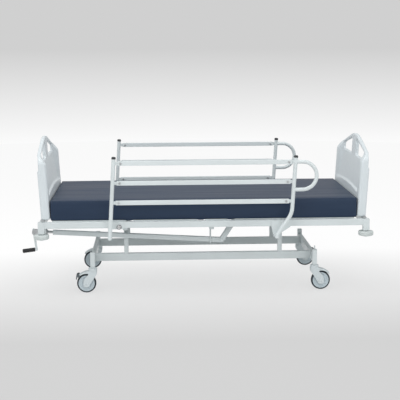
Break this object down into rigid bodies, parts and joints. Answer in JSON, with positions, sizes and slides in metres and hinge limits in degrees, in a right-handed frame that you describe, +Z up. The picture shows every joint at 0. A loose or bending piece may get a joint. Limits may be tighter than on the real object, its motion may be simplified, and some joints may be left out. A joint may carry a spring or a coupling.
{
  "type": "manual hospital bed",
  "caption": "Manual hospital bed with a cranked backrest, folding side rails, lift-off end boards, mattress and braked swivel castors.",
  "frame": {"origin": "on the floor, under the middle of the whole bed's bounding box", "axes": "+X toward the head end, +Y toward the patient's right side, +Z up"},
  "size_m": [2.2615, 1.084, 0.985],
  "materials": {
    "frame_coat": "light grey epoxy powder coat, satin",
    "rail_coat": "light grey epoxy powder coat, satin",
    "board_shell": "blow-moulded pale blue-grey plastic, satin",
    "mattress_cover": "coated wipe-clean cover, dark blue-grey",
    "tyre_rubber": "smooth dark grey",
    "hub_plastic": "light grey moulding",
    "castor_housing": "light grey moulding",
    "pedal_plastic": "grey moulding",
    "bumper_plastic": "grey moulding",
    "black_plastic": "black, satin",
    "rail_fittings": "dark caps and zinc-plated bolt heads",
    "bare_steel": "zinc plated"
  },
  "bodies": {
    "bed_frame": {"base_rails": "frame_coat", "base_cross_tubes": "frame_coat", "base_posts": "frame_coat", "support_posts": "frame_coat", "deck_side_tubes": "frame_coat", "deck_cross_tubes": "frame_coat", "corner_sockets": "frame_coat", "deck_panels": "frame_coat", "hinge_lugs": "frame_coat", "crank_bracket": "frame_coat", "tube_hanger": "frame_coat", "rail_brackets": "rail_coat", "mattress_flat": "mattress_cover", "mattress_bend": "mattress_cover"},
    "backrest": {"backrest_panel": "frame_coat", "backrest_frame": "frame_coat", "lift_lever": "frame_coat", "mattress_back": "mattress_cover"},
    "drive_yoke": {"drive_yoke": "bare_steel"},
    "push_tube": {"push_tube": "frame_coat", "push_tube_ends": "frame_coat"},
    "crank_screw": {"crank_screw": "bare_steel"},
    "crank_arm": {"crank_arm": "frame_coat"},
    "crank_grip": {"crank_grip": "black_plastic"},
    "head_board": {"head_board": "board_shell"},
    "foot_board": {"foot_board": "board_shell"},
    "rail_foot_left": {"rail_post_foot_left": "rail_coat", "rail_fittings_foot_left": "rail_fittings"},
    "rail_head_left": {"rail_post_head_left": "rail_coat", "rail_fittings_head_left": "rail_fittings"},
    "rail_bar_top_left": {"rail_bar_top_left": "rail_coat"},
    "rail_bar_middle_left": {"rail_bar_middle_left": "rail_coat"},
    "rail_bar_low_left": {"rail_bar_low_left": "rail_coat"},
    "lock_knob_left": {"lock_knob_left": "black_plastic"},
    "rail_foot_right": {"rail_post_foot_right": "rail_coat", "rail_fittings_foot_right": "rail_fittings"},
    "rail_head_right": {"rail_post_head_right": "rail_coat", "rail_fittings_head_right": "rail_fittings"},
    "rail_bar_top_right": {"rail_bar_top_right": "rail_coat"},
    "rail_bar_middle_right": {"rail_bar_middle_right": "rail_coat"},
    "rail_bar_low_right": {"rail_bar_low_right": "rail_coat"},
    "lock_knob_right": {"lock_knob_right": "black_plastic"},
    "bumper_roller_head_left": {"bumper_roller_head_left": "bumper_plastic"},
    "bumper_roller_head_right": {"bumper_roller_head_right": "bumper_plastic"},
    "bumper_roller_foot_left": {"bumper_roller_foot_left": "bumper_plastic"},
    "bumper_roller_foot_right": {"bumper_roller_foot_right": "bumper_plastic"},
    "castor_head_left": {"castor_fork_head_left": "castor_housing"},
    "castor_wheel_head_left": {"castor_hub_head_left": "hub_plastic", "castor_tyre_head_left": "tyre_rubber"},
    "castor_head_right": {"castor_fork_head_right": "castor_housing"},
    "castor_wheel_head_right": {"castor_hub_head_right": "hub_plastic", "castor_tyre_head_right": "tyre_rubber"},
    "brake_pedal_head_right": {"brake_pedal_head_right": "pedal_plastic"},
    "castor_foot_left": {"castor_fork_foot_left": "castor_housing"},
    "castor_wheel_foot_left": {"castor_hub_foot_left": "hub_plastic", "castor_tyre_foot_left": "tyre_rubber"},
    "brake_pedal_foot_left": {"brake_pedal_foot_left": "pedal_plastic"},
    "castor_foot_right": {"castor_fork_foot_right": "castor_housing"},
    "castor_wheel_foot_right": {"castor_hub_foot_right": "hub_plastic", "castor_tyre_foot_right": "tyre_rubber"}
  },
  "joints": [
    {"name": "backrest_hinge", "type": "hinge", "parent": "bed_frame", "child": "backrest", "pos_m": [0.2438, 0, 0.466], "axis": [0, -1, 0], "range_deg": [0, 70], "deforming": ["mattress_bend"]},
    {"name": "drive_pitch", "type": "hinge", "parent": "bed_frame", "child": "drive_yoke", "pos_m": [-0.9852, -0.28, 0.39], "axis": [0, -1, 0], "range_deg": [0, 1.5]},
    {"name": "push_tube_slide", "type": "slide", "parent": "drive_yoke", "child": "push_tube", "axis": [0.9984, 0, -0.0572], "range_m": [0, 0.185]},
    {"name": "crank_spin", "type": "hinge", "parent": "drive_yoke", "child": "crank_screw", "pos_m": [-0.9852, -0.28, 0.39], "axis": [0.9984, 0, -0.0572], "range_deg": [0, 7205]},
    {"name": "crank_fold", "type": "hinge", "parent": "crank_screw", "child": "crank_arm", "pos_m": [-1.05178, -0.28, 0.3818], "axis": [0, -1, 0], "range_deg": [0, 50]},
    {"name": "grip_spin", "type": "hinge", "parent": "crank_arm", "child": "crank_grip", "pos_m": [-1.0388, -0.28, 0.27458], "axis": [-0.9928, 0, -0.1201], "continuous": true},
    {"name": "head_board_lift", "type": "slide", "parent": "bed_frame", "child": "head_board", "axis": [0, 0, 1], "range_m": [0, 0.12]},
    {"name": "foot_board_lift", "type": "slide", "parent": "bed_frame", "child": "foot_board", "axis": [0, 0, 1], "range_m": [0, 0.12]},
    {"name": "rail_fold_left", "type": "hinge", "parent": "bed_frame", "child": "rail_foot_left", "pos_m": [-0.5512, -0.525, 0.391], "axis": [0, 1, 0], "range_deg": [0, 66]},
    {"name": "rail_head_fold_left", "type": "hinge", "parent": "bed_frame", "child": "rail_head_left", "pos_m": [0.4988, -0.525, 0.391], "axis": [0, 1, 0], "range_deg": [0, 66]},
    {"name": "rail_bar_top_turn_left", "type": "hinge", "parent": "rail_foot_left", "child": "rail_bar_top_left", "pos_m": [-0.47746, -0.525, 0.863], "axis": [0, 1, 0], "range_deg": [-66, 0]},
    {"name": "rail_bar_middle_turn_left", "type": "hinge", "parent": "rail_foot_left", "child": "rail_bar_middle_left", "pos_m": [-0.48528, -0.525, 0.739], "axis": [0, 1, 0], "range_deg": [-66, 0]},
    {"name": "rail_bar_low_turn_left", "type": "hinge", "parent": "rail_foot_left", "child": "rail_bar_low_left", "pos_m": [-0.49309, -0.525, 0.615], "axis": [0, 1, 0], "range_deg": [-66, 0]},
    {"name": "lock_pull_left", "type": "slide", "parent": "bed_frame", "child": "lock_knob_left", "axis": [0, -1, 0], "range_m": [0, 0.008], "stiffness_N_per_m": 600, "springref_m": -0.004},
    {"name": "rail_fold_right", "type": "hinge", "parent": "bed_frame", "child": "rail_foot_right", "pos_m": [-0.5512, 0.525, 0.391], "axis": [0, 1, 0], "range_deg": [0, 66]},
    {"name": "rail_head_fold_right", "type": "hinge", "parent": "bed_frame", "child": "rail_head_right", "pos_m": [0.4988, 0.525, 0.391], "axis": [0, 1, 0], "range_deg": [0, 66]},
    {"name": "rail_bar_top_turn_right", "type": "hinge", "parent": "rail_foot_right", "child": "rail_bar_top_right", "pos_m": [-0.47746, 0.525, 0.863], "axis": [0, 1, 0], "range_deg": [-66, 0]},
    {"name": "rail_bar_middle_turn_right", "type": "hinge", "parent": "rail_foot_right", "child": "rail_bar_middle_right", "pos_m": [-0.48528, 0.525, 0.739], "axis": [0, 1, 0], "range_deg": [-66, 0]},
    {"name": "rail_bar_low_turn_right", "type": "hinge", "parent": "rail_foot_right", "child": "rail_bar_low_right", "pos_m": [-0.49309, 0.525, 0.615], "axis": [0, 1, 0], "range_deg": [-66, 0]},
    {"name": "lock_pull_right", "type": "slide", "parent": "bed_frame", "child": "lock_knob_right", "axis": [0, 1, 0], "range_m": [0, 0.008], "stiffness_N_per_m": 600, "springref_m": -0.004},
    {"name": "bumper_roller_head_left_spin", "type": "hinge", "parent": "bed_frame", "child": "bumper_roller_head_left", "pos_m": [1.0808, -0.455, 0.391], "axis": [0, 0, 1], "continuous": true},
    {"name": "bumper_roller_head_right_spin", "type": "hinge", "parent": "bed_frame", "child": "bumper_roller_head_right", "pos_m": [1.0808, 0.455, 0.391], "axis": [0, 0, 1], "continuous": true},
    {"name": "bumper_roller_foot_left_spin", "type": "hinge", "parent": "bed_frame", "child": "bumper_roller_foot_left", "pos_m": [-0.9852, -0.455, 0.391], "axis": [0, 0, 1], "continuous": true},
    {"name": "bumper_roller_foot_right_spin", "type": "hinge", "parent": "bed_frame", "child": "bumper_roller_foot_right", "pos_m": [-0.9852, 0.455, 0.391], "axis": [0, 0, 1], "continuous": true},
    {"name": "castor_swivel_head_left", "type": "hinge", "parent": "bed_frame", "child": "castor_head_left", "pos_m": [0.7688, -0.35, 0.164], "axis": [0, 0, 1], "continuous": true},
    {"name": "castor_roll_head_left", "type": "hinge", "parent": "castor_head_left", "child": "castor_wheel_head_left", "pos_m": [0.8098, -0.35, 0.0625], "axis": [0, 1, 0], "continuous": true},
    {"name": "castor_swivel_head_right", "type": "hinge", "parent": "bed_frame", "child": "castor_head_right", "pos_m": [0.7688, 0.35, 0.164], "axis": [0, 0, 1], "continuous": true},
    {"name": "castor_roll_head_right", "type": "hinge", "parent": "castor_head_right", "child": "castor_wheel_head_right", "pos_m": [0.8098, 0.35, 0.0625], "axis": [0, 1, 0], "continuous": true},
    {"name": "brake_press_head_right", "type": "hinge", "parent": "castor_head_right", "child": "brake_pedal_head_right", "pos_m": [0.8588, 0.35, 0.1145], "axis": [0, 1, 0], "range_deg": [0, 14]},
    {"name": "castor_swivel_foot_left", "type": "hinge", "parent": "bed_frame", "child": "castor_foot_left", "pos_m": [-0.6732, -0.35, 0.164], "axis": [0, 0, 1], "continuous": true},
    {"name": "castor_roll_foot_left", "type": "hinge", "parent": "castor_foot_left", "child": "castor_wheel_foot_left", "pos_m": [-0.7142, -0.35, 0.0625], "axis": [0, 1, 0], "continuous": true},
    {"name": "brake_press_foot_left", "type": "hinge", "parent": "castor_foot_left", "child": "brake_pedal_foot_left", "pos_m": [-0.7632, -0.35, 0.1145], "axis": [0, -1, 0], "range_deg": [0, 14]},
    {"name": "castor_swivel_foot_right", "type": "hinge", "parent": "bed_frame", "child": "castor_foot_right", "pos_m": [-0.6732, 0.35, 0.164], "axis": [0, 0, 1], "continuous": true},
    {"name": "castor_roll_foot_right", "type": "hinge", "parent": "castor_foot_right", "child": "castor_wheel_foot_right", "pos_m": [-0.7142, 0.35, 0.0625], "axis": [0, 1, 0], "continuous": true}
  ],
  "couplings": [
    {"joint": "drive_pitch", "follows": "backrest_hinge", "ratio": 0.018791},
    {"joint": "push_tube_slide", "follows": "backrest_hinge", "m_per_rad": 0.15032},
    {"joint": "crank_spin", "follows": "backrest_hinge", "ratio": 102.86},
    {"joint": "rail_head_fold_left", "follows": "rail_fold_left", "ratio": 1},
    {"joint": "rail_bar_top_turn_left", "follows": "rail_fold_left", "ratio": -1},
    {"joint": "rail_bar_middle_turn_left", "follows": "rail_fold_left", "ratio": -1},
    {"joint": "rail_bar_low_turn_left", "follows": "rail_fold_left", "ratio": -1},
    {"joint": "rail_head_fold_right", "follows": "rail_fold_right", "ratio": 1},
    {"joint": "rail_bar_top_turn_right", "follows": "rail_fold_right", "ratio": -1},
    {"joint": "rail_bar_middle_turn_right", "follows": "rail_fold_right", "ratio": -1},
    {"joint": "rail_bar_low_turn_right", "follows": "rail_fold_right", "ratio": -1}
  ]
}
